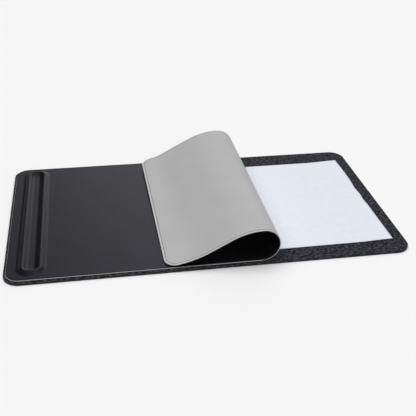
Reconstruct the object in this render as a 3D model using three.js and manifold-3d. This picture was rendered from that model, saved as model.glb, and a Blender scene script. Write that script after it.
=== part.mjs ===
// A desk pad in felt and two-faced leather, black on top and grey on the reverse.
// The left part of the leather cover is bonded to the felt and carries a pen tray.
// The right part is a loose flap over a paper pocket, modelled folded back to show its grey face.
import * as THREE from 'three';
import { mergeVertices } from 'three/addons/utils/BufferGeometryUtils.js';
import loadManifold from 'manifold-3d';

const wasm = await loadManifold();
wasm.setup();

// Driving sizes in millimetres and turns in degrees.
// X runs along the pad, Y away from the user and Z up, from the middle of the underside.

// Felt base
const padLength = 675;
const padDepth = 375;
const padCornerRadius = 26;
const feltThickness = 5;

// Leather cover: two faces with a glue line between them
const coverInset = 4;
const liningThickness = 1;
const skinThickness = 0.8;
const glueLine = 0.3;

// Adhesive film under the fixed part of the cover
const filmThickness = 0.5;
const filmInset = 3;
const filmEndBeforeLoop = 14;

// Pen tray: a raised rim, measured along its crest
const trayEdgeDistance = 24.9;
const trayWidth = 28.5;
const trayEndDistance = 18.1;
const troughCornerRadius = 0.6;
const rimHeight = 5;
const rimInnerWidth = 10.6;
const rimOuterWidth = 11;
const coreClearance = 0.3;

// Folded flap, as lengths along the sheet at its near and far edges
const loopRadius = { near: 27.8, far: 31.5 };
const shoulderLength = { near: 51.6, far: 60.5 };
const slopeLength = { near: 39.8, far: 64.7 };
const landingLength = { near: 54.7, far: 17.9 };
const tailLength = { near: 23, far: 23 };
const loopTurn = 180;
const landingTurn = 17.8;
const loopCreases = 6;
const shoulderCreases = 2;
const landingCreases = 2;
const stripGap = 0.3;
const flapRestGap = 0.3;

// Sheet of paper in the pocket
const paperWidth = 210;
const paperLength = 297;
const paperThickness = 0.3;
const paperEdgeDistance = 23;
const paperOffsetY = -5.2;
const paperTurn = 0.3;

// Fineness of round stretches
const cornerSegments = 10;
const rimCornerSegments = 6;
const rimFlankSegments = 6;

// How far cutting shapes reach past what they cut
const overcut = 5;

// Heights and edges that follow from the driving sizes
const liningBottom = feltThickness + filmThickness;
const liningTop = liningBottom + liningThickness;
const skinBottom = liningTop + glueLine;
const skinTop = skinBottom + skinThickness;
const coverRight = padLength / 2 - coverInset;
const coverLeft = -coverRight;
const coverFar = padDepth / 2 - coverInset;
const coverNear = -coverFar;
const coverCornerRadius = padCornerRadius - coverInset;

// Colours
const feltColour = 0x38363b;
const blackLeatherColour = 0x3a383e;
const greyLeatherColour = 0xaeaeae;
const filmColour = 0xd9d6c8;
const foamColour = 0x4a4a4c;
const paperColour = 0xdfe4ee;

// A closed geometry as a solid that can be joined or cut
function toSolid(geometry) {
  const bare = geometry.clone();
  bare.deleteAttribute('normal');
  bare.deleteAttribute('uv');
  const merged = mergeVertices(bare);
  const mesh = new wasm.Mesh({
    numProp: 3,
    vertProperties: new Float32Array(merged.attributes.position.array),
    triVerts: new Uint32Array(merged.index.array),
  });
  return new wasm.Manifold(mesh);
}

// A joined or cut solid as a geometry
function toGeometry(solid) {
  const mesh = solid.getMesh();
  const geometry = new THREE.BufferGeometry();
  geometry.setAttribute('position', new THREE.BufferAttribute(mesh.vertProperties, 3));
  geometry.setIndex(new THREE.BufferAttribute(mesh.triVerts, 1));
  geometry.computeVertexNormals();
  return geometry;
}

// A named piece with a material of its own
function piece(name, geometry, color, roughness) {
  const material = new THREE.MeshStandardMaterial({ color, roughness, metalness: 0 });
  const mesh = new THREE.Mesh(geometry, material);
  mesh.name = name;
  return mesh;
}

// A rectangle with round corners, centred on the pad
function roundedOutline(length, depth, radius) {
  const x = length / 2 - radius;
  const y = depth / 2 - radius;
  const quarter = Math.PI / 2;
  const outline = new THREE.Shape();
  outline.absarc(x, -y, radius, -quarter, 0);
  outline.absarc(x, y, radius, 0, quarter);
  outline.absarc(-x, y, radius, quarter, 2 * quarter);
  outline.absarc(-x, -y, radius, 2 * quarter, 3 * quarter);
  outline.closePath();
  return outline;
}

// A flat layer of an outline between two heights
function layer(outline, bottom, top) {
  const settings = { depth: top - bottom, bevelEnabled: false, curveSegments: cornerSegments };
  return new THREE.ExtrudeGeometry(outline, settings).translate(0, 0, bottom);
}

// Where a straight line across the sheet, given at its near and far edges, crosses a depth y
function crossing(line, y) {
  return THREE.MathUtils.lerp(line.near, line.far, (y - coverNear) / (coverFar - coverNear));
}

// A straight line across the sheet, moved along X
function moved(line, distance) {
  return { near: line.near + distance, far: line.far + distance };
}

// The part of a flat layer between two lines across it
function bandOf(geometry, left, right, bottom, top) {
  const near = coverNear - overcut;
  const far = coverFar + overcut;
  const band = new THREE.Shape([
    new THREE.Vector2(crossing(left, near), near),
    new THREE.Vector2(crossing(right, near), near),
    new THREE.Vector2(crossing(right, far), far),
    new THREE.Vector2(crossing(left, far), far),
  ]);
  const cutter = layer(band, bottom - overcut, top + overcut);
  return toSolid(geometry).intersect(toSolid(cutter));
}

// Felt base

const feltOutline = roundedOutline(padLength, padDepth, padCornerRadius);
const feltBase = piece('felt_base', layer(feltOutline, 0, feltThickness), feltColour, 0.95);

// Creases of the flap

// Length of the loop along the sheet at its inner face: each strip touches the loop's circle in its middle
function loopLength(edge) {
  const halfTurn = THREE.MathUtils.degToRad(loopTurn / loopCreases / 2);
  return 2 * loopCreases * loopRadius[edge] * Math.tan(halfTurn);
}

// Where the loop starts, counted back from the flap's free edge
function loopStart(edge) {
  const beyondLoop = shoulderLength[edge] + slopeLength[edge] + landingLength[edge] + tailLength[edge];
  return coverRight - beyondLoop - loopLength(edge);
}

// A row of equal creases that shares one turn over a stretch of the sheet.
// The axis of each crease lies on the face inside its bend, so that the strips open outwards.
function creaseRow(start, length, count, turn, axisHeight) {
  return Array.from({ length: count }, (_, i) => {
    const share = (i + 0.5) / count;
    const near = start.near + length.near * share;
    const far = start.far + length.far * share;
    return { near, far, turn: turn / count, axisHeight };
  });
}

// All creases from the fixed part to the free edge: round the loop, over the shoulder
// and back a little where the flap lands
function creasesWith(shoulderTurn) {
  const loop = { near: loopLength('near'), far: loopLength('far') };
  const start = { near: loopStart('near'), far: loopStart('far') };
  const shoulder = { near: start.near + loop.near, far: start.far + loop.far };
  const landing = {
    near: coverRight - tailLength.near - landingLength.near,
    far: coverRight - tailLength.far - landingLength.far,
  };
  return [
    ...creaseRow(start, loop, loopCreases, loopTurn, skinTop),
    ...creaseRow(shoulder, shoulderLength, shoulderCreases, shoulderTurn, skinTop),
    ...creaseRow(landing, landingLength, landingCreases, -landingTurn, liningBottom),
  ];
}

// The turn at one crease, about its line across the flat sheet; a positive turn lifts the flap
function creaseMatrix(crease) {
  const near = new THREE.Vector3(crease.near, coverNear, crease.axisHeight);
  const far = new THREE.Vector3(crease.far, coverFar, crease.axisHeight);
  const axis = near.clone().sub(far).normalize();
  const turn = new THREE.Matrix4().makeRotationAxis(axis, THREE.MathUtils.degToRad(crease.turn));
  const toCrease = new THREE.Matrix4().makeTranslation(near);
  const fromCrease = new THREE.Matrix4().makeTranslation(near.clone().negate());
  return toCrease.multiply(turn).multiply(fromCrease);
}

// Height of the lower corner of the free edge once every crease has turned
function freeEdgeHeight(shoulderTurn) {
  const folded = new THREE.Matrix4();
  for (const crease of creasesWith(shoulderTurn)) {
    folded.multiply(creaseMatrix(crease));
  }
  const corners = [coverNear, coverFar].map((y) => new THREE.Vector3(coverRight, y, skinTop));
  return Math.min(...corners.map((corner) => corner.applyMatrix4(folded).z));
}

// The shoulder turns until the free edge lies on the cover: the turn is found by halving
function restingShoulderTurn() {
  let least = 0;
  let most = 90;
  for (let step = 0; step < 40; step += 1) {
    const middle = (least + most) / 2;
    if (freeEdgeHeight(middle) > skinTop + flapRestGap) {
      least = middle;
    } else {
      most = middle;
    }
  }
  return least;
}

const creases = creasesWith(restingShoulderTurn());

// Fixed part of the cover

const coverOutline = roundedOutline(coverRight - coverLeft, coverFar - coverNear, coverCornerRadius);
const liningSheet = layer(coverOutline, liningBottom, liningTop);
const skinSheet = layer(coverOutline, skinBottom, skinTop);
const beforeCover = { near: coverLeft - overcut, far: coverLeft - overcut };
const afterCover = { near: coverRight + overcut, far: coverRight + overcut };
const fixedEnd = moved(creases[0], -stripGap / 2);

// Adhesive film between the felt and the fixed lining
const filmLength = coverRight - coverLeft - 2 * filmInset;
const filmDepth = coverFar - coverNear - 2 * filmInset;
const filmSheet = layer(
  roundedOutline(filmLength, filmDepth, coverCornerRadius - filmInset),
  feltThickness,
  liningBottom,
);
const filmStop = Math.min(loopStart('near'), loopStart('far')) - filmEndBeforeLoop;
const filmEnd = { near: filmStop, far: filmStop };
const filmSolid = bandOf(filmSheet, beforeCover, filmEnd, feltThickness, liningBottom);
const bondFilm = piece('bond_film', toGeometry(filmSolid), filmColour, 0.6);

const liningSolid = bandOf(liningSheet, beforeCover, fixedEnd, liningBottom, liningTop);
const coverLining = piece('cover_lining', toGeometry(liningSolid), greyLeatherColour, 0.7);

// Section across the tray rim: a bell on two flanks, from its inner foot over the crest to its outer foot
function rimSection(innerWidth, outerWidth, footHeight) {
  const section = [];
  for (let i = -rimFlankSegments; i <= rimFlankSegments; i += 1) {
    const share = i / rimFlankSegments;
    const outward = share * (share < 0 ? innerWidth : outerWidth);
    const rise = rimHeight * (1 - share * share) ** 3;
    section.push({ outward, height: footHeight + rise });
  }
  return section;
}

// The same section with its feet carried down by a depth
function deepened(section, depth) {
  const first = section[0];
  const last = section[section.length - 1];
  return [
    { outward: first.outward, height: first.height - depth },
    ...section,
    { outward: last.outward, height: last.height - depth },
  ];
}

// Points of the rim's crest line with the direction outwards, round the four corners of the tray
function crestLine() {
  const radius = troughCornerRadius + rimInnerWidth;
  const left = coverLeft + trayEdgeDistance + radius;
  const right = coverLeft + trayEdgeDistance + trayWidth - radius;
  const far = coverFar - trayEndDistance - radius;
  const near = coverNear + trayEndDistance + radius;
  const centres = [[right, far], [left, far], [left, near], [right, near]];
  return centres.flatMap(([x, y], corner) => Array.from({ length: rimCornerSegments + 1 }, (_, i) => {
    const angle = (corner + i / rimCornerSegments) * Math.PI / 2;
    const outward = new THREE.Vector2(Math.cos(angle), Math.sin(angle));
    return { x: x + radius * outward.x, y: y + radius * outward.y, outward };
  }));
}

// A closed ring that carries a section along the crest line
function ringOf(section) {
  const crest = crestLine();
  const positions = crest.flatMap((point) => section.flatMap(({ outward, height }) => [
    point.x + point.outward.x * outward,
    point.y + point.outward.y * outward,
    height,
  ]));
  const at = (i, j) => (i % crest.length) * section.length + (j % section.length);
  const index = crest.flatMap((_, i) => section.flatMap((__, j) => [
    at(i, j), at(i, j + 1), at(i + 1, j + 1),
    at(i, j), at(i + 1, j + 1), at(i + 1, j),
  ]));
  const ring = new THREE.BufferGeometry();
  ring.setAttribute('position', new THREE.Float32BufferAttribute(positions, 3));
  ring.setIndex(index);
  return ring;
}

// Black skin of the fixed part, formed over the rim's core and hollow under it
const beadSection = deepened(rimSection(rimInnerWidth, rimOuterWidth, skinTop), skinThickness / 2);
const hollowInner = rimInnerWidth - skinThickness;
const hollowOuter = rimOuterWidth - skinThickness;
const hollowSection = deepened(rimSection(hollowInner, hollowOuter, skinBottom), glueLine);
const skinSolid = bandOf(skinSheet, beforeCover, fixedEnd, skinBottom, skinTop)
  .add(toSolid(ringOf(beadSection)))
  .subtract(toSolid(ringOf(hollowSection)));
const coverSkin = piece('cover_skin', toGeometry(skinSolid), blackLeatherColour, 0.6);

// Foam core that holds the rim up, lying on the lining
const coreSection = rimSection(hollowInner - coreClearance, hollowOuter - coreClearance, liningTop);
const rimCore = piece('tray_rim_core', ringOf(coreSection), foamColour, 0.9);
rimCore.geometry.computeVertexNormals();

// Flap: strips of both faces, each pair in the group that turns at its crease

function flapStrips() {
  const flap = new THREE.Group();
  let carrier = flap;
  creases.forEach((crease, i) => {
    const turned = new THREE.Group();
    turned.applyMatrix4(creaseMatrix(crease));
    carrier.add(turned);
    carrier = turned;
    const left = moved(crease, stripGap / 2);
    const right = i + 1 < creases.length ? moved(creases[i + 1], -stripGap / 2) : afterCover;
    const lining = bandOf(liningSheet, left, right, liningBottom, liningTop);
    const skin = bandOf(skinSheet, left, right, skinBottom, skinTop);
    const number = String(i + 1).padStart(2, '0');
    turned.add(piece(`flap_lining_${number}`, toGeometry(lining), greyLeatherColour, 0.7));
    turned.add(piece(`flap_skin_${number}`, toGeometry(skin), blackLeatherColour, 0.6));
  });
  return flap;
}

// Sheet of paper on the felt, lying a little askew in the pocket
const paperSheet = piece(
  'paper_sheet',
  new THREE.BoxGeometry(paperWidth, paperLength, paperThickness),
  paperColour,
  0.8,
);
paperSheet.position.set(
  padLength / 2 - paperEdgeDistance - paperWidth / 2,
  paperOffsetY,
  feltThickness + paperThickness / 2,
);
paperSheet.rotation.z = THREE.MathUtils.degToRad(paperTurn);

const deskPad = new THREE.Group();
deskPad.add(feltBase, bondFilm, coverLining, rimCore, coverSkin, flapStrips(), paperSheet);

export default deskPad;
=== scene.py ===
"""Looks of a desk pad: charcoal felt base, two-faced leather cover with a pen tray, loose flap and paper."""

import math

import bpy
import numpy as np
from mathutils import Matrix, Vector


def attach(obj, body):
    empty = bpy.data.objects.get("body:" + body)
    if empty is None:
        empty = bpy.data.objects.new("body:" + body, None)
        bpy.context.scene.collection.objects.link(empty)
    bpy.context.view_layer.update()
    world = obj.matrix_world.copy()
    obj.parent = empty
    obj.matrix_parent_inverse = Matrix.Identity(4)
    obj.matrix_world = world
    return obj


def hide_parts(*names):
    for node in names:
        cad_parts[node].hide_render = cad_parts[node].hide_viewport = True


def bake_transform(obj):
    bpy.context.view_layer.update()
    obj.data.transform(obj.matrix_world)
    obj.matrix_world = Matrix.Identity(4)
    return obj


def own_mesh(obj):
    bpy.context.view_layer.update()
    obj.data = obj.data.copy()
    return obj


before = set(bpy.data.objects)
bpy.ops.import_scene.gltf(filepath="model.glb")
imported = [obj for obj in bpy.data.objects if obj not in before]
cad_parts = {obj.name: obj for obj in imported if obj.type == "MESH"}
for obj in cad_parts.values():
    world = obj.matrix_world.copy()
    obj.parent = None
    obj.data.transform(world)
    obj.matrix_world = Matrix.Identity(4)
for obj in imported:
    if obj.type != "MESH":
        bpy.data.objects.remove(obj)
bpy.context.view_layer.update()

# Sizes of the part in millimetres: X along the pad, Y away from the user, Z up
MM = 0.001
PAD_HALF_LENGTH = 337.5
PAD_HALF_DEPTH = 187.5
PAD_CORNER = 26.0
FELT_TOP = 5.0
COVER_HALF_LENGTH = 333.5
COVER_HALF_DEPTH = 183.5
COVER_CORNER = 22.0
GREY_BOTTOM = 5.5
GREY_TOP = 6.75
BLACK_TOP = 7.6
BLACK_INSET = 0.3

# Radii of the rounded edges
FELT_TOP_EDGE = 0.8
FELT_BOTTOM_EDGE = 0.4
FIXED_GREY_EDGE = 0.3
FIXED_BLACK_EDGE = 0.5
FLAP_BLACK_EDGE = 0.4
FLAP_GREY_EDGE = 0.5

# The flap's grey face is a little thinner than the fixed part's, so that the closed flap clears the paper
FLAP_BOTTOM = 5.65
FLAP_MIDDLE = 6.55

# Pen tray: the crest line of its rim and the rim's two flanks
TRAY_LEFT = -308.6
TRAY_RIGHT = -280.1
TRAY_END = 165.4
TRAY_CORNER = 11.2
RIM_HEIGHT = 5.0
RIM_INNER = 10.6
RIM_OUTER = 11.0

# Close grid over the tray: its margin beyond the crest, its columns, and the rows in a band at each end
TRAY_MARGIN = 11.5
TRAY_COLUMNS = 90
TRAY_END_BAND = (0.2, 36.0)
TRAY_END_ROWS = 64

# Creases of the folded flap, and the number of the strip that holds its flat slope
LOOP_CREASES = 6
SHOULDER_CREASES = 2
LANDING_CREASES = 2
SLOPE_STRIP = LOOP_CREASES + SHOULDER_CREASES

# Folded flap: lengths along the sheet at its near and far edges, and the turn of each crease in degrees
LOOP_RADIUS = np.array([27.8, 31.5])
SHOULDER_LENGTH = np.array([51.6, 60.5])
LANDING_LENGTH = np.array([54.7, 17.9])
TAIL_LENGTH = np.array([23.0, 23.0])
SLOPE_LENGTH = np.array([39.8, 64.7])
LOOP_STEP = 30.0
SHOULDER_STEP = 14.4801
LANDING_STEP = -8.9

# Sheet of paper: its middle, turn and size, its gap to the felt, and its grid
PAPER_MIDDLE = (209.5, -5.2)
PAPER_TURN = 0.3
PAPER_WIDTH = 210.0
PAPER_LENGTH = 297.0
PAPER_THICKNESS = 0.2
PAPER_GAP = 0.05
PAPER_COLUMNS = 64
PAPER_ROWS = 100

# Right edge of the paper: the band that lifts and its lift, then (size, place along the edge, width) of the
# ripple and of the dips, whose sizes are shares of the lift
PAPER_BAND = 65.0
PAPER_LIFT = 1.9
PAPER_RIPPLE = (1.8, 90.0, 45.0)
PAPER_DIPS = ((0.95, 33.0, 15.0), (0.75, -14.0, 11.0))

# Pressed line round the leather, measured from its cut edge
PRESSED_LINE = 3.8
PRESSED_WIDTH = 0.7
PRESSED_DEPTH = 0.3

# Insets of the close rows and columns along an edge, which crowd at the pressed line on the leather
FELT_INSETS = np.array([0, 0.15, 0.4, 0.8, 1.5, 4.0, 10.0])
FINE_INSETS = np.array([0, 0.15, 0.4, 0.8, 1.4, 2.2, 2.9, 3.3, 3.8, 4.3, 4.7, 5.6, 9.0, 14.0])
FREE_COLUMNS = FINE_INSETS[1:11]
LEFT_COLUMNS = FINE_INSETS[[1, 2, 7, 8, 9]]

# Even rows of each grid, which keep the deepest inset times MIDDLE_CLEAR from an edge
FELT_ROWS = 40
FIXED_ROWS = 36
FLAP_ROWS = 24
MIDDLE_CLEAR = 1.5

# Columns round a corner, along the felt, and on the fixed part from REST_GAP past the tray to the first bend
FELT_CORNER_COLUMNS = 16
CORNER_COLUMNS = 14
FELT_COLUMNS = 60
REST_COLUMNS = 40
REST_GAP = 1.0

# Studio floor and camera
FLOOR_HALF = 60000.0
FLOOR_DROP = 0.05
PHOTO_PIXELS = 416
SENSOR_WIDTH = 36.0


# Meshes

def grid_quads(columns, rows):
    """Quads of a grid of columns by rows points: point (i, j) has the number i * rows + j."""
    i, j = np.meshgrid(np.arange(columns - 1), np.arange(rows - 1), indexing="ij")
    first = (i * rows + j).ravel()
    return np.stack([first, first + rows, first + rows + 1, first + 1], axis=1)


def border_numbers(columns, rows):
    """Numbers of a grid's border points, once round from the first corner."""
    number = np.arange(columns * rows).reshape(columns, rows)
    sides = (number[:-1, 0], number[-1, :-1], number[:0:-1, -1], number[0, :0:-1])
    return np.concatenate(sides)


def new_piece(name, points, quads, flat_quads, material, flat_xy, edge_distance):
    """A mesh in metres from points in millimetres, with its flat coordinates and edge distance kept on it."""
    mesh = bpy.data.meshes.new(name)
    mesh.from_pydata(points.reshape(-1, 3) * MM, [], np.concatenate([quads, flat_quads]).tolist())
    smooth = np.ones(len(quads) + len(flat_quads), bool)
    smooth[len(quads):] = False
    mesh.polygons.foreach_set("use_smooth", smooth)
    corner_points = np.zeros(len(mesh.loops), np.int32)
    mesh.loops.foreach_get("vertex_index", corner_points)
    corner_edges = np.zeros(len(mesh.loops), np.int32)
    mesh.loops.foreach_get("edge_index", corner_edges)
    sharp = np.zeros(len(mesh.edges), bool)
    sharp[corner_edges[4 * len(quads):]] = True
    mesh.edges.foreach_set("use_edge_sharp", sharp)
    flat_map = mesh.uv_layers.new(name="flat")
    flat_map.data.foreach_set("uv", (flat_xy.reshape(-1, 2)[corner_points] * MM).ravel())
    edge = mesh.attributes.new("edge_mm", "FLOAT", "POINT")
    edge.data.foreach_set("value", edge_distance.ravel().astype(np.float32))
    mesh.materials.append(material)
    piece = bpy.data.objects.new(name, mesh)
    bpy.context.scene.collection.objects.link(piece)
    return piece


def layer_piece(name, upper, lower, flat_xy, edge_distance, material, open_ends=()):
    """A closed layer between two grids of points: both faces, and a wall from border to border.

    open_ends names the first or last column where the sheet goes on in another piece: the wall
    there is shaded flat, so that the faces run on smoothly.
    """
    columns, rows = upper.shape[:2]
    count = columns * rows
    ring = border_numbers(columns, rows)
    after = np.roll(ring, -1)
    walls = np.stack([ring, ring + count, after + count, after], axis=1)
    column = np.stack([ring // rows, after // rows])
    inner = np.zeros(len(ring), bool)
    if "first" in open_ends:
        inner |= (column == 0).all(axis=0)
    if "last" in open_ends:
        inner |= (column == columns - 1).all(axis=0)
    faces = grid_quads(columns, rows)
    quads = np.concatenate([faces, faces[:, ::-1] + count, walls[~inner]])
    points = np.concatenate([upper.reshape(-1, 3), lower.reshape(-1, 3)])
    both_xy = np.concatenate([flat_xy.reshape(-1, 2)] * 2)
    both_edges = np.concatenate([edge_distance.ravel()] * 2)
    return new_piece(name, points, quads, walls[inner], material, both_xy, both_edges)


# Outlines

def outline_reach(x, half_length, half_depth, corner):
    """Half depth of a rounded rectangle at x: full, less the corner's radius minus its circle's height."""
    into = np.clip(np.abs(x) - (half_length - corner), 0, corner)
    return half_depth - corner + np.sqrt(np.maximum(corner**2 - into**2, 0))


def outline_signed(x, y, half_length, half_depth, corner):
    """Distance inwards from a rounded rectangle, negative outside it.

    It is the corner radius less the distance from the inner box that the corners' centres span.
    """
    across = np.abs(x) - (half_length - corner)
    along = np.abs(y) - (half_depth - corner)
    outside = np.hypot(np.maximum(across, 0), np.maximum(along, 0))
    inside = np.minimum(np.maximum(across, along), 0)
    return corner - outside - inside


def outline_distance(x, y, half_length, half_depth, corner):
    """Distance inwards from a rounded rectangle, zero outside it."""
    return np.maximum(outline_signed(x, y, half_length, half_depth, corner), 0)


def rows_between(insets, count):
    """Rows across a sheet as (side, inset): at the insets from both edges, and even shares between them."""
    even = np.linspace(-1, 1, count)
    side = np.concatenate([-np.ones(len(insets)), even, np.ones(len(insets))])
    inset = np.concatenate([insets, np.full(count, np.nan), insets[::-1]])
    return side, inset


def row_depths(reach, side, inset):
    """Y of each row at each column: its side times the reach less its inset, or less MIDDLE_CLEAR times
    the deepest inset for an even row."""
    clear = np.where(np.isnan(inset), np.nanmax(inset) * MIDDLE_CLEAR, np.nan_to_num(inset))
    return side[None, :] * (reach[:, None] - clear[None, :])


def corner_columns(half_length, corner, count):
    """X of columns round a corner, from the straight part out to the edge: even steps of angle."""
    angle = np.linspace(0, math.pi / 2, count)
    return half_length - corner + corner * np.sin(angle)


def bell(place, size, middle, width):
    """A bell round the middle: size exp(-((place - middle) / width)^2)."""
    return size * np.exp(-(((place - middle) / width) ** 2))


def rounded_edge(distance, radius):
    """Drop of a face near its edge: a quarter circle of that radius, zero further in."""
    into = np.clip(radius - distance, 0, radius)
    return radius - np.sqrt(radius**2 - into**2)


def pressed_line(distance):
    """Depth of the line pressed into the leather: a bell round its distance from the cut edge."""
    return bell(distance, PRESSED_DEPTH, PRESSED_LINE, PRESSED_WIDTH)


# Fold of the flap

def crease_turn(line, height, degrees):
    """The 4x4 turn about a crease's line in the flat sheet, given by its X at the near and far edges."""
    near = Vector((line[0], -COVER_HALF_DEPTH, height))
    far = Vector((line[1], COVER_HALF_DEPTH, height))
    turn = Matrix.Rotation(math.radians(degrees), 4, near - far)
    return np.array(Matrix.Translation(near) @ turn @ Matrix.Translation(-near))


def bend_zones():
    """Zones of the flap that bend, each as (start line, end line, axis height, turn)."""
    strip = 2 * LOOP_RADIUS * math.tan(math.radians(LOOP_STEP / 2))
    beyond = SHOULDER_LENGTH + SLOPE_LENGTH + LANDING_LENGTH + TAIL_LENGTH
    start = COVER_HALF_LENGTH - beyond - LOOP_CREASES * strip
    zones = []
    for _ in range(LOOP_CREASES):
        zones.append((start, start + strip, BLACK_TOP, LOOP_STEP))
        start = start + strip
    for _ in range(SHOULDER_CREASES):
        zones.append((start, start + SHOULDER_LENGTH / SHOULDER_CREASES, BLACK_TOP, SHOULDER_STEP))
        start = start + SHOULDER_LENGTH / SHOULDER_CREASES
    start = start + SLOPE_LENGTH
    for _ in range(LANDING_CREASES):
        zones.append((start, start + LANDING_LENGTH / LANDING_CREASES, GREY_BOTTOM, LANDING_STEP))
        start = start + LANDING_LENGTH / LANDING_CREASES
    return zones


def at_depth(line, y):
    """X of a straight line across the sheet, given at its near and far edges, at the depth y."""
    return line[0] + (line[1] - line[0]) * (y + COVER_HALF_DEPTH) / (2 * COVER_HALF_DEPTH)


def turned(matrix, points):
    """Points carried by a 4x4 matrix."""
    return points @ matrix[:3, :3].T + matrix[:3, 3]


ZONES = bend_zones()


def fold_places():
    """4x4 places of the fixed part and of each strip: the place before it times the turn at its crease."""
    places = [np.eye(4)]
    for first, last, axis_height, degrees in ZONES:
        places.append(places[-1] @ crease_turn((first + last) / 2, axis_height, degrees))
    return places


STRIP_PLACES = fold_places()


def bent_points(number, share, y, height):
    """Points of a bend at shares along it, by step and row: a circle's arc that touches both strips.

    Each row is the rational curve of start a, corner c and end b with the weight w = cos(turn / 2):
    ((1-t)^2 a + 2 t (1-t) w c + t^2 b) / ((1-t)^2 + 2 t (1-t) w + t^2). The corner is the crease,
    moved out to where the two strips' faces at that height meet.
    """
    first, last, axis, degrees = ZONES[number]
    before, after = STRIP_PLACES[number], STRIP_PLACES[number + 1]
    level = np.full_like(y, height)
    a = turned(before, np.stack([at_depth(first, y), y, level], axis=-1))
    b = turned(after, np.stack([at_depth(last, y), y, level], axis=-1))
    crease = at_depth((first + last) / 2, y)
    c = turned(before, np.stack([crease, y, np.full_like(y, axis)], axis=-1))
    mean_up = before[:3, 2] + after[:3, 2]
    c = c + mean_up * (height - axis) * 2 / (mean_up @ mean_up)
    weight = math.cos(math.radians(degrees) / 2)
    t = share[..., None]
    blend = (1 - t) ** 2 * a + 2 * t * (1 - t) * weight * c + t**2 * b
    return blend / ((1 - t) ** 2 + 2 * t * (1 - t) * weight + t**2)


def face_normals(points):
    """Unit normals of a grid of points: the cross product of its steps along the rows and columns."""
    across = np.gradient(points, axis=0)
    along = np.gradient(points, axis=1)
    normal = np.cross(across, along)
    return normal / np.linalg.norm(normal, axis=-1, keepdims=True)


# Node materials

def srgb(code):
    """Linear colour of an sRGB hex value: c / 12.92 up to 0.04045, else ((c + 0.055) / 1.055) ^ 2.4."""
    shares = [int(code[i:i + 2], 16) / 255 for i in (1, 3, 5)]
    linear = [c / 12.92 if c <= 0.04045 else ((c + 0.055) / 1.055) ** 2.4 for c in shares]
    return (*linear, 1.0)


def add_node(tree, kind, inputs=None, **settings):
    """Adds a node: settings are its own properties, inputs its sockets' values or what feeds them.

    A colour mix has its two colours at sockets 6 and 7, and the mixed colour at output 2.
    """
    node = tree.nodes.new(kind)
    for name, value in settings.items():
        setattr(node, name, value)
    for socket, value in (inputs or {}).items():
        if isinstance(value, bpy.types.NodeSocket):
            tree.links.new(value, node.inputs[socket])
        else:
            node.inputs[socket].default_value = value
    return node


def new_material(name, roughness, ior):
    """A material with its node tree and its Principled shader."""
    material = bpy.data.materials.new(name)
    material.use_nodes = True
    shader = material.node_tree.nodes["Principled BSDF"]
    shader.inputs["Roughness"].default_value = roughness
    shader.inputs["IOR"].default_value = ior
    return material, material.node_tree, shader


def black_leather():
    """Coated leather, embossed with a fine pebble grain: near black, with a soft broad gloss."""
    material, tree, shader = new_material("black_coated_leather", 0.37, 1.5)
    flat = add_node(tree, "ShaderNodeUVMap", uv_map="flat")
    # Pebbles of 1.6 mm, coarser than the real 0.6 mm so that they show
    grain = add_node(tree, "ShaderNodeTexVoronoi", {"Vector": flat.outputs["UV"], "Scale": 1 / 0.0016})
    mottle = add_node(tree, "ShaderNodeTexNoise", {"Vector": flat.outputs["UV"], "Scale": 1 / 0.045,
                                                   "Detail": 4.0, "Roughness": 0.6})
    tone = add_node(tree, "ShaderNodeMapRange", {"Value": mottle.outputs["Fac"],
                                                 "From Min": 0.3, "From Max": 0.7})
    colour = add_node(tree, "ShaderNodeMix", {"Factor": tone.outputs["Result"], 6: srgb("#121117"),
                                              7: srgb("#17161C")}, data_type="RGBA")
    bump = add_node(tree, "ShaderNodeBump", {"Height": grain.outputs["Distance"], "Strength": 0.12,
                                             "Distance": 0.0004})
    shader.inputs["Specular Tint"].default_value = srgb("#EAE5FF")
    tree.links.new(colour.outputs[2], shader.inputs["Base Color"])
    tree.links.new(bump.outputs["Normal"], shader.inputs["Normal"])
    return material


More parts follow.
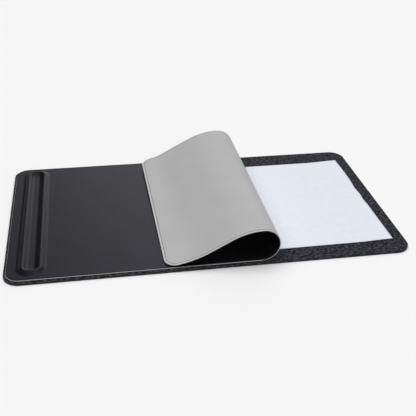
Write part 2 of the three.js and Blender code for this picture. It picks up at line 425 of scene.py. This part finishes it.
def grey_leather():
    """Coated leather in plain grey: smooth and matt, paler at the cut edge, with a line pressed round it; a
    painted highlight lightens the margin outside the line and painted shade darkens the line.
    """
    material, tree, shader = new_material("grey_coated_leather", 0.6, 1.5)
    flat = add_node(tree, "ShaderNodeUVMap", uv_map="flat")
    edge = add_node(tree, "ShaderNodeAttribute", attribute_name="edge_mm")
    mottle = add_node(tree, "ShaderNodeTexNoise", {"Vector": flat.outputs["UV"], "Scale": 1 / 0.06,
                                                   "Detail": 3.0, "Roughness": 0.5})
    tone = add_node(tree, "ShaderNodeMapRange", {"Value": mottle.outputs["Fac"],
                                                 "From Min": 0.3, "From Max": 0.7})
    face = add_node(tree, "ShaderNodeMix", {"Factor": tone.outputs["Result"], 6: srgb("#AFAFAF"),
                                            7: srgb("#B3B3B3")}, data_type="RGBA")
    # Painted highlight: the margin between the cut edge and the pressed line is lightened as if it caught the
    # light
    painted_margin_highlight = add_node(tree, "ShaderNodeMapRange", {"Value": edge.outputs["Fac"],
                                                   "From Min": 3.6, "From Max": 2.8,
                                                   "To Min": 0.0, "To Max": 0.6})
    with_painted_highlight = add_node(tree, "ShaderNodeMix", {"Factor": painted_margin_highlight.outputs["Result"], 6: face.outputs[2],
                                              7: srgb("#C6C6C4")}, data_type="RGBA")
    from_line = add_node(tree, "ShaderNodeMath", {0: edge.outputs["Fac"], 1: PRESSED_LINE},
                         operation="SUBTRACT")
    off_line = add_node(tree, "ShaderNodeMath", {0: from_line.outputs[0]}, operation="ABSOLUTE")
    # Painted shade: the pressed line is darkened as if shade lay in its groove
    line = add_node(tree, "ShaderNodeMapRange", {"Value": off_line.outputs[0],
                                                 "From Min": 0.9, "From Max": 0.4,
                                                 "To Min": 0.0, "To Max": 0.85})
    with_painted_groove_shade = add_node(tree, "ShaderNodeMix", {"Factor": line.outputs["Result"], 6: with_painted_highlight.outputs[2],
                                             7: srgb("#6E6E6E")}, data_type="RGBA")
    cut = add_node(tree, "ShaderNodeMapRange", {"Value": edge.outputs["Fac"],
                                                "From Min": 0.3, "From Max": 0.05})
    colour = add_node(tree, "ShaderNodeMix", {"Factor": cut.outputs["Result"], 6: with_painted_groove_shade.outputs[2],
                                              7: srgb("#C4C4BD")}, data_type="RGBA")
    # Pores of 1.2 mm, coarser than the real 0.4 mm so that they show
    grain = add_node(tree, "ShaderNodeTexVoronoi", {"Vector": flat.outputs["UV"], "Scale": 1 / 0.0012})
    bump = add_node(tree, "ShaderNodeBump", {"Height": grain.outputs["Distance"], "Strength": 0.12,
                                             "Distance": 0.0003})
    tree.links.new(colour.outputs[2], shader.inputs["Base Color"])
    tree.links.new(bump.outputs["Normal"], shader.inputs["Normal"])
    return material


def needle_felt():
    """Needled polyester felt of dark and pale fibres: charcoal melange with a dull, fuzzy surface."""
    material, tree, shader = new_material("needled_polyester_felt", 0.95, 1.45)
    shader.inputs["Specular IOR Level"].default_value = 0.25
    shader.inputs["Sheen Weight"].default_value = 0.05
    shader.inputs["Sheen Roughness"].default_value = 0.5
    place = add_node(tree, "ShaderNodeTexCoord")
    # Tufts of fibre 6 mm long, 3 mm wide and 1 mm thick, laid two ways; single fibres are too fine to show
    lays = []
    for degrees in (35, -50):
        laid = add_node(tree, "ShaderNodeMapping", {"Vector": place.outputs["Object"],
                                                    "Rotation": (0, 0, math.radians(degrees)),
                                                    "Scale": (1 / 0.006, 1 / 0.003, 1 / 0.001)})
        noise = add_node(tree, "ShaderNodeTexNoise", {"Vector": laid.outputs[0], "Scale": 1.0,
                                                      "Detail": 5.0, "Roughness": 0.65})
        lays.append(noise.outputs["Fac"])
    tufts = add_node(tree, "ShaderNodeMath", dict(enumerate(lays)), operation="MAXIMUM")
    pale = add_node(tree, "ShaderNodeMapRange", {"Value": tufts.outputs[0],
                                                 "From Min": 0.5, "From Max": 0.71})
    colour = add_node(tree, "ShaderNodeMix", {"Factor": pale.outputs["Result"], 6: srgb("#0B0B0E"),
                                              7: srgb("#62636E")}, data_type="RGBA")
    bump = add_node(tree, "ShaderNodeBump", {"Height": tufts.outputs[0], "Strength": 0.6, "Distance": 0.0008})
    tree.links.new(colour.outputs[2], shader.inputs["Base Color"])
    tree.links.new(bump.outputs["Normal"], shader.inputs["Normal"])
    return material


def plain_paper():
    """Uncoated office paper: cool white, matt, with a faint cloudy formation of its fibres."""
    material, tree, shader = new_material("uncoated_paper", 0.85, 1.45)
    flat = add_node(tree, "ShaderNodeUVMap", uv_map="flat")
    cloud = add_node(tree, "ShaderNodeTexNoise", {"Vector": flat.outputs["UV"], "Scale": 1 / 0.012,
                                                  "Detail": 5.0, "Roughness": 0.6})
    tone = add_node(tree, "ShaderNodeMapRange", {"Value": cloud.outputs["Fac"],
                                                 "From Min": 0.3, "From Max": 0.7})
    colour = add_node(tree, "ShaderNodeMix", {"Factor": tone.outputs["Result"], 6: srgb("#DDE1EB"),
                                              7: srgb("#E2E6EF")}, data_type="RGBA")
    tree.links.new(colour.outputs[2], shader.inputs["Base Color"])
    return material


def closed_cell_foam():
    """Closed-cell foam of the rim's core: dull grey with cells of about 1 mm."""
    material, tree, shader = new_material("closed_cell_foam", 0.9, 1.45)
    place = add_node(tree, "ShaderNodeTexCoord")
    cells = add_node(tree, "ShaderNodeTexVoronoi", {"Vector": place.outputs["Object"], "Scale": 1 / 0.001})
    colour = add_node(tree, "ShaderNodeMix", {"Factor": cells.outputs["Distance"], 6: srgb("#4A4A4C"),
                                              7: srgb("#5A5A5C")}, data_type="RGBA")
    tree.links.new(colour.outputs[2], shader.inputs["Base Color"])
    return material


def hot_melt_film():
    """Hot-melt adhesive film: waxy, off-white and a little uneven."""
    material, tree, shader = new_material("hot_melt_film", 0.55, 1.5)
    place = add_node(tree, "ShaderNodeTexCoord")
    cloud = add_node(tree, "ShaderNodeTexNoise", {"Vector": place.outputs["Object"], "Scale": 1 / 0.008})
    colour = add_node(tree, "ShaderNodeMix", {"Factor": cloud.outputs["Fac"], 6: srgb("#6A6962"),
                                              7: srgb("#7A7972")}, data_type="RGBA")
    tree.links.new(colour.outputs[2], shader.inputs["Base Color"])
    return material


def studio_floor():
    """Seamless studio paper: even, matt and nearly white."""
    material, _, shader = new_material("studio_floor", 1.0, 1.45)
    shader.inputs["Specular IOR Level"].default_value = 0.0
    shader.inputs["Base Color"].default_value = srgb("#F2F2F2")
    return material


BLACK_LEATHER = black_leather()
GREY_LEATHER = grey_leather()
FELT = needle_felt()
PAPER = plain_paper()
FOAM = closed_cell_foam()
FILM = hot_melt_film()


# Felt base

def felt_base():
    """A rounded slab: flat faces whose edges fall away on quarter circles."""
    corner = corner_columns(PAD_HALF_LENGTH, PAD_CORNER, FELT_CORNER_COLUMNS)
    edge = PAD_HALF_LENGTH - FELT_INSETS[1:4]
    right = np.unique(np.concatenate([corner, edge]))
    middle = np.linspace(-right[0], right[0], FELT_COLUMNS)[1:-1]
    x = np.concatenate([-right[::-1], middle, right])
    side, inset = rows_between(FELT_INSETS, FELT_ROWS)
    reach = outline_reach(x, PAD_HALF_LENGTH, PAD_HALF_DEPTH, PAD_CORNER)
    y = row_depths(reach, side, inset)
    x = np.broadcast_to(x[:, None], y.shape)
    distance = outline_distance(x, y, PAD_HALF_LENGTH, PAD_HALF_DEPTH, PAD_CORNER)
    upper = np.stack([x, y, FELT_TOP - rounded_edge(distance, FELT_TOP_EDGE)], axis=-1)
    lower = np.stack([x, y, rounded_edge(distance, FELT_BOTTOM_EDGE)], axis=-1)
    piece = layer_piece("felt_pad", upper, lower, np.stack([x, y], axis=-1), distance, FELT)
    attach(piece, "pad")
    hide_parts("felt_base")


# Fixed part of the cover

def rim_rise(x, y):
    """Height of the tray's rim: RIM_HEIGHT (1 - s^2)^3, with s the share of a flank from the crest line."""
    middle = (TRAY_LEFT + TRAY_RIGHT) / 2
    outward = -outline_signed(x - middle, y, (TRAY_RIGHT - TRAY_LEFT) / 2, TRAY_END, TRAY_CORNER)
    share = np.clip(np.where(outward < 0, outward / RIM_INNER, outward / RIM_OUTER), -1, 1)
    return RIM_HEIGHT * (1 - share**2) ** 3


def fixed_grid(inset, fine):
    """Flat points of the fixed part, from its left edge to the first bend, and their distance from its edge.

    The fine grid has close columns across the tray and close rows across the tray's two ends.
    """
    half_length = COVER_HALF_LENGTH - inset
    half_depth = COVER_HALF_DEPTH - inset
    corner = COVER_CORNER - inset
    edge = -half_length + LEFT_COLUMNS
    left = np.concatenate([-corner_columns(half_length, corner, CORNER_COLUMNS), edge])
    tray = np.array([TRAY_LEFT])
    insets = FINE_INSETS
    if fine:
        tray = np.linspace(TRAY_LEFT - TRAY_MARGIN, TRAY_RIGHT + TRAY_MARGIN, TRAY_COLUMNS)
        ends = np.linspace(*TRAY_END_BAND, TRAY_END_ROWS)
        insets = np.unique(np.concatenate([FINE_INSETS[:6], ends]))
    start = max(left.max(), tray.max()) + REST_GAP
    fixed = np.unique(np.concatenate([left, tray]))
    share_of_rest = np.linspace(0, 1, REST_COLUMNS)
    columns = np.concatenate([fixed, np.full_like(share_of_rest, start)])
    side, row_inset = rows_between(insets, FIXED_ROWS)
    y = row_depths(outline_reach(columns, half_length, half_depth, corner), side, row_inset)
    bend = at_depth(ZONES[0][0], y[len(fixed):])
    x = np.concatenate([np.broadcast_to(fixed[:, None], (len(fixed), y.shape[1])),
                        start + (bend - start) * share_of_rest[:, None]])
    rounded = outline_distance(x, y, half_length, half_depth, corner)
    return x, y, np.where(x < 0, rounded, half_depth - np.abs(y))


def fixed_cover():
    """Both layers of the fixed part: a flat grey layer, and a black one that rises over the tray's rim."""
    x, y, distance = fixed_grid(0.0, fine=False)
    flat_xy = np.stack([x, y], axis=-1)
    upper = np.stack([x, y, np.full_like(x, GREY_TOP)], axis=-1)
    lower = np.stack([x, y, GREY_BOTTOM + rounded_edge(distance, FIXED_GREY_EDGE)], axis=-1)
    grey = layer_piece("fixed_grey_face", upper, lower, flat_xy, distance, GREY_LEATHER, ("last",))
    x, y, distance = fixed_grid(BLACK_INSET, fine=True)
    flat_xy = np.stack([x, y], axis=-1)
    rise = rim_rise(x, y)
    upper = np.stack([x, y, BLACK_TOP + rise - rounded_edge(distance, FIXED_BLACK_EDGE)], axis=-1)
    lower = np.stack([x, y, GREY_TOP + rise], axis=-1)
    black = layer_piece("fixed_black_face", upper, lower, flat_xy, distance, BLACK_LEATHER, ("last",))
    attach(grey, "pad")
    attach(black, "pad")
    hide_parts("cover_lining")
    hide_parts("cover_skin")


# Flap

# Columns of a bend, of half a bend, and of the slope; each end of a bend has a close pair, END_STEP apart
BEND_COLUMNS = 17
HALF_BEND_COLUMNS = 10
SLOPE_COLUMNS = 10
END_STEP = 0.004
TAIL_SHARES = np.array([0, 1 / 3, 2 / 3])

# Length in millimetres by which each black strip runs on past its seam along the flat sheet, so that it laps
# its neighbour
SEAM_LAP = 0.06


def layer_faces(black):
    """Height of a layer's upper and lower face in the flat flap, and the layer's inset from the cut edge."""
    return (BLACK_TOP, FLAP_MIDDLE, BLACK_INSET) if black else (FLAP_MIDDLE, FLAP_BOTTOM, 0.0)


def flap_rows(black, count):
    """Y of the rows across the flap at a number of columns, close together at the pressed line."""
    inset = layer_faces(black)[2]
    side, row_inset = rows_between(FINE_INSETS, FLAP_ROWS)
    return row_depths(np.full(count, COVER_HALF_DEPTH - inset), side, row_inset)


def bend_shares(start, stop, steps):
    """Shares along a stretch of a bend, by step and row: even, with a close pair at both of its ends."""
    even = np.linspace(start, stop, steps)
    return np.concatenate([even[:1], even[:1] + END_STEP, even[1:-1], even[-1:] - END_STEP, even[-1:]])


def seam_share(number):
    """Share of a bend, by row, that a black strip covers so that it laps its neighbour when both are flat.

    The strip's upper face has the radius r = h / tan(turn / 2) + d, with h half the bend's flat length and
    d the face's distance from the crease. Flattened, an arc of the angle a reaches r sin(a), which is h
    at a = asin(h / r). The curve of bent_points is there at s / (s + e), with s = sin(a / 2) and
    e = sin((turn - a) / 2).
    """
    first, last, axis, degrees = ZONES[number]
    y = flap_rows(True, 1)[0]
    half_length = (at_depth(last, y) - at_depth(first, y)) / 2
    turn = math.radians(abs(degrees))
    radius = half_length / math.tan(turn / 2) + BLACK_TOP - axis
    angle = np.arcsin(half_length / radius)
    near, far = np.sin(angle / 2), np.sin((turn - angle) / 2)
    return near / (near + far) + SEAM_LAP / (2 * half_length)


def bend_part(number, shares, black):
    """Both faces of a stretch of a bend, its distance from the cut edge and its flat coordinates."""
    top, bottom, inset = layer_faces(black)
    y = flap_rows(black, 1)[0]
    first, last = (at_depth(line, y) for line in ZONES[number][:2])
    x = first + (last - first) * shares
    depth = np.broadcast_to(y, x.shape)
    upper = bent_points(number, shares, y, top)
    lower = bent_points(number, shares, y, bottom)
    return upper, lower, COVER_HALF_DEPTH - inset - np.abs(depth), np.stack([x, depth], axis=-1)


def flat_part(place, x, y, black):
    """The same for a stretch that stays flat, carried to its place in the fold."""
    top, bottom, inset = layer_faces(black)
    upper = turned(place, np.stack([x, y, np.full_like(x, top)], axis=-1))
    lower = turned(place, np.stack([x, y, np.full_like(x, bottom)], axis=-1))
    half_length, half_depth = COVER_HALF_LENGTH - inset, COVER_HALF_DEPTH - inset
    distance = outline_distance(x, y, half_length, half_depth, COVER_CORNER - inset)
    return upper, lower, distance, np.stack([x, y], axis=-1)


def slope_part(black, shares):
    """The flat slope between the shoulder and the landing, at shares of its length."""
    y = flap_rows(black, len(shares))
    first, last = at_depth(ZONES[SLOPE_STRIP - 1][1], y), at_depth(ZONES[SLOPE_STRIP][0], y)
    return flat_part(STRIP_PLACES[SLOPE_STRIP], first + (last - first) * shares[:, None], y, black)


def tail_part(black, shares):
    """The flat tail: columns at shares of the way to its corners, then round the corners to the free edge."""
    inset = layer_faces(black)[2]
    edge, corner = COVER_HALF_LENGTH - inset, COVER_CORNER - inset
    columns = np.unique(np.concatenate([corner_columns(edge, corner, CORNER_COLUMNS), edge - FREE_COLUMNS]))
    side, row_inset = rows_between(FINE_INSETS, FLAP_ROWS)
    y = row_depths(outline_reach(columns, edge, COVER_HALF_DEPTH - inset, corner), side, row_inset)
    begin = at_depth(ZONES[-1][1], y[0])
    lead = begin + (columns[0] - begin) * shares[:, None]
    x = np.concatenate([lead, np.broadcast_to(columns[:, None], y.shape)])
    y = np.concatenate([np.broadcast_to(y[0], lead.shape), y])
    return flat_part(STRIP_PLACES[-1], x, y, black)


def finished_layer(name, black, parts, open_ends):
    """A layer of the flap from its parts, with its edges rounded, and on the grey side the pressed line."""
    upper, lower, distance, flat_xy = (np.concatenate(arrays) for arrays in zip(*parts))
    up = face_normals(upper)
    if black:
        upper = upper - up * rounded_edge(distance, FLAP_BLACK_EDGE)[..., None]
    else:
        lower = lower + up * (rounded_edge(distance, FLAP_GREY_EDGE) + pressed_line(distance))[..., None]
    colour = "black" if black else "grey"
    material = BLACK_LEATHER if black else GREY_LEATHER
    piece = layer_piece(f"flap_{colour}_{name}", upper, lower, flat_xy, distance, material, open_ends)
    return piece


def grey_flap():
    """The grey layer: ten bends, arcs that touch the two strips they join, and the flat slope and tail."""
    for number in range(len(ZONES)):
        parts = [bend_part(number, bend_shares([0.0], [1.0], BEND_COLUMNS), False)]
        piece = finished_layer(f"bend_{number + 1:02d}", False, parts, ("first", "last"))
        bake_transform(piece)
        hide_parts(f"flap_lining_{number + 1:02d}")
    slope_shares = np.linspace(0, 1, SLOPE_COLUMNS)
    slope = finished_layer("slope", False, [slope_part(False, slope_shares)], ("first", "last"))
    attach(slope, "flap_08")
    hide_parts("flap_lining_08")
    tail = finished_layer("tail", False, [tail_part(False, TAIL_SHARES)], ("first",))
    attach(tail, "flap_10")
    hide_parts("flap_lining_10")


def black_strip(number):
    """Parts of one black strip: half a bend, its flat stretch if it has one, and half the next bend."""
    parts = []
    if number > 0:
        start = 1 - seam_share(number - 1)
        shares = bend_shares(start, np.ones_like(start), HALF_BEND_COLUMNS)
        parts.append(bend_part(number - 1, shares, True))
    if number == SLOPE_STRIP:
        parts.append(slope_part(True, np.linspace(0, 1, SLOPE_COLUMNS)[1:-1]))
    if number == len(ZONES):
        parts.append(tail_part(True, TAIL_SHARES[1:]))
    else:
        stop = seam_share(number)
        shares = bend_shares(np.zeros_like(stop), stop, HALF_BEND_COLUMNS)
        # Where two bends touch, the first one's last column is the second one's first
        touching = number not in (0, SLOPE_STRIP)
        parts.append(bend_part(number, shares[1:] if touching else shares, True))
    return parts


def black_flap():
    """The black layer: strips from mid bend to mid bend."""
    for number in range(len(ZONES) + 1):
        name = f"strip_{number:02d}" if number else "root"
        open_ends = ("first",) if number == len(ZONES) else ("first", "last")
        piece = finished_layer(name, True, black_strip(number), open_ends)
        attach(piece, f"flap_{number:02d}" if number else "pad")
        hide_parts(f"flap_skin_{number:02d}" if number else "cover_skin")
        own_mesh(piece)


# Paper

def paper_wave(x, y):
    """Lift of the paper: its right edge rises, most at a ripple towards the far corner, and has two dips.

    The rise is a smooth step 3 t^2 - 2 t^3 across the outer band; ripple and dips are bells along the edge.
    """
    t = np.clip((x - PAPER_WIDTH / 2) / PAPER_BAND + 1, 0, 1)
    ripple = PAPER_LIFT + bell(y, *PAPER_RIPPLE)
    dips = sum(bell(y, *dip) for dip in PAPER_DIPS)
    return (3 * t**2 - 2 * t**3) * ripple * (1 - dips)


def paper_sheet():
    """A thin sheet laid askew on the felt, wavy at its right edge."""
    x, y = np.meshgrid(np.linspace(-PAPER_WIDTH / 2, PAPER_WIDTH / 2, PAPER_COLUMNS),
                       np.linspace(-PAPER_LENGTH / 2, PAPER_LENGTH / 2, PAPER_ROWS), indexing="ij")
    lift = FELT_TOP + PAPER_GAP + paper_wave(x, y)
    angle = math.radians(PAPER_TURN)
    world_x = PAPER_MIDDLE[0] + x * math.cos(angle) - y * math.sin(angle)
    world_y = PAPER_MIDDLE[1] + x * math.sin(angle) + y * math.cos(angle)
    upper = np.stack([world_x, world_y, lift + PAPER_THICKNESS], axis=-1)
    lower = np.stack([world_x, world_y, lift], axis=-1)
    distance = np.minimum(PAPER_WIDTH / 2 - np.abs(x), PAPER_LENGTH / 2 - np.abs(y))
    piece = layer_piece("paper", upper, lower, np.stack([x, y], axis=-1), distance, PAPER)
    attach(piece, "paper")
    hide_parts("paper_sheet")
    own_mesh(piece)


felt_base()
fixed_cover()
grey_flap()
black_flap()
paper_sheet()
for node, material in (("tray_rim_core", FOAM), ("bond_film", FILM)):
    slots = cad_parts[node].data.materials
    slots.clear()
    slots.append(material)


# Stage, light and camera

def floor():
    """A large flat square under the pad."""
    x, y = np.meshgrid([-FLOOR_HALF, FLOOR_HALF], [-FLOOR_HALF, FLOOR_HALF], indexing="ij")
    mesh = bpy.data.meshes.new("floor")
    points = np.stack([x, y, np.full_like(x, -FLOOR_DROP)], axis=-1).reshape(-1, 3) * MM
    mesh.from_pydata(points, [], grid_quads(2, 2).tolist())
    mesh.materials.append(studio_floor())
    piece = bpy.data.objects.new("floor", mesh)
    bpy.context.scene.collection.objects.link(piece)


def sun(name, direction, strength, softness):
    """An even soft light from a direction, kept out of the gloss."""
    lamp = bpy.data.lights.new(name, "SUN")
    lamp.energy = strength
    lamp.angle = math.radians(softness)
    holder = bpy.data.objects.new(name, lamp)
    holder.visible_glossy = False
    holder.rotation_euler = Vector(direction).to_track_quat("Z", "Y").to_euler()
    bpy.context.scene.collection.objects.link(holder)


def studio():
    """A broad soft key overhead, and a room that is pale behind on the right and dark on the left.

    The room's horizon is as pale as the floor all round, but for its dark corner behind on the left.
    """
    world = bpy.data.worlds.new("studio")
    world.use_nodes = True
    tree = world.node_tree
    place = add_node(tree, "ShaderNodeTexCoord")
    direction = add_node(tree, "ShaderNodeSeparateXYZ", {0: place.outputs["Generated"]})
    across = add_node(tree, "ShaderNodeMapRange", {"Value": direction.outputs["X"], "From Min": -0.3,
                                                   "From Max": 0.15, "To Min": 0.03, "To Max": 0.92},
                      interpolation_type="SMOOTHSTEP")
    beyond = add_node(tree, "ShaderNodeMapRange", {"Value": direction.outputs["X"], "From Min": 0.2,
                                                   "From Max": 0.7, "To Min": 1.0, "To Max": 0.32},
                      interpolation_type="SMOOTHSTEP")
    level = add_node(tree, "ShaderNodeMath", {0: across.outputs["Result"], 1: beyond.outputs["Result"]},
                     operation="MULTIPLY")
    low = add_node(tree, "ShaderNodeMapRange", {"Value": direction.outputs["Z"], "From Min": 0.05,
                                                "From Max": 0.07, "To Min": 0.92, "To Max": 0.0})
    aside = add_node(tree, "ShaderNodeMath", {0: direction.outputs["Y"], 1: direction.outputs["X"]},
                     operation="SUBTRACT")
    open_side = add_node(tree, "ShaderNodeMapRange", {"Value": aside.outputs["Value"], "From Min": 0.5,
                                                      "From Max": 1.0, "To Min": 1.0, "To Max": 0.0})
    horizon = add_node(tree, "ShaderNodeMath", {0: low.outputs["Result"], 1: open_side.outputs["Result"]},
                       operation="MULTIPLY")
    strength = add_node(tree, "ShaderNodeMath", {0: level.outputs["Value"], 1: horizon.outputs["Value"]},
                        operation="MAXIMUM")
    background = tree.nodes["Background"]
    background.inputs["Color"].default_value = srgb("#FFFFFF")
    tree.links.new(strength.outputs["Value"], background.inputs["Strength"])
    bpy.context.scene.world = world
    sun("key", (-0.28, 0.05, 0.95), 2.18, 60)


def photo_camera():
    """The camera of the photograph: its place, its turn and its lens from a fit of the pad's four edges."""
    focal_px, azimuth, elevation, roll, distance = 686.0, -10.911, 31.077, 1.559, 1272.237
    target = np.array([18.595, 2.060, 0.0])
    a, e, r = (math.radians(angle) for angle in (azimuth, elevation, roll))
    back = np.array([math.sin(a) * math.cos(e), -math.cos(a) * math.cos(e), math.sin(e)])
    right = np.cross(-back, [0, 0, 1])
    right = right / np.linalg.norm(right)
    up = np.cross(right, -back)
    rolled_right = math.cos(r) * right + math.sin(r) * up
    rolled_up = math.cos(r) * up - math.sin(r) * right
    turn = Matrix(np.stack([rolled_right, rolled_up, back], axis=1).tolist()).to_4x4()
    data = bpy.data.cameras.new("photo_camera")
    data.sensor_width = SENSOR_WIDTH
    data.lens = focal_px / PHOTO_PIXELS * SENSOR_WIDTH
    data.clip_start = 0.01
    data.clip_end = 100.0
    camera = bpy.data.objects.new("photo_camera", data)
    camera.matrix_world = Matrix.Translation(Vector((target + back * distance) * MM)) @ turn
    bpy.context.scene.collection.objects.link(camera)
    bpy.context.scene.camera = camera


floor()
studio()
photo_camera()
bpy.context.scene.view_settings.view_transform = "Standard"

bpy.context.view_layer.update()
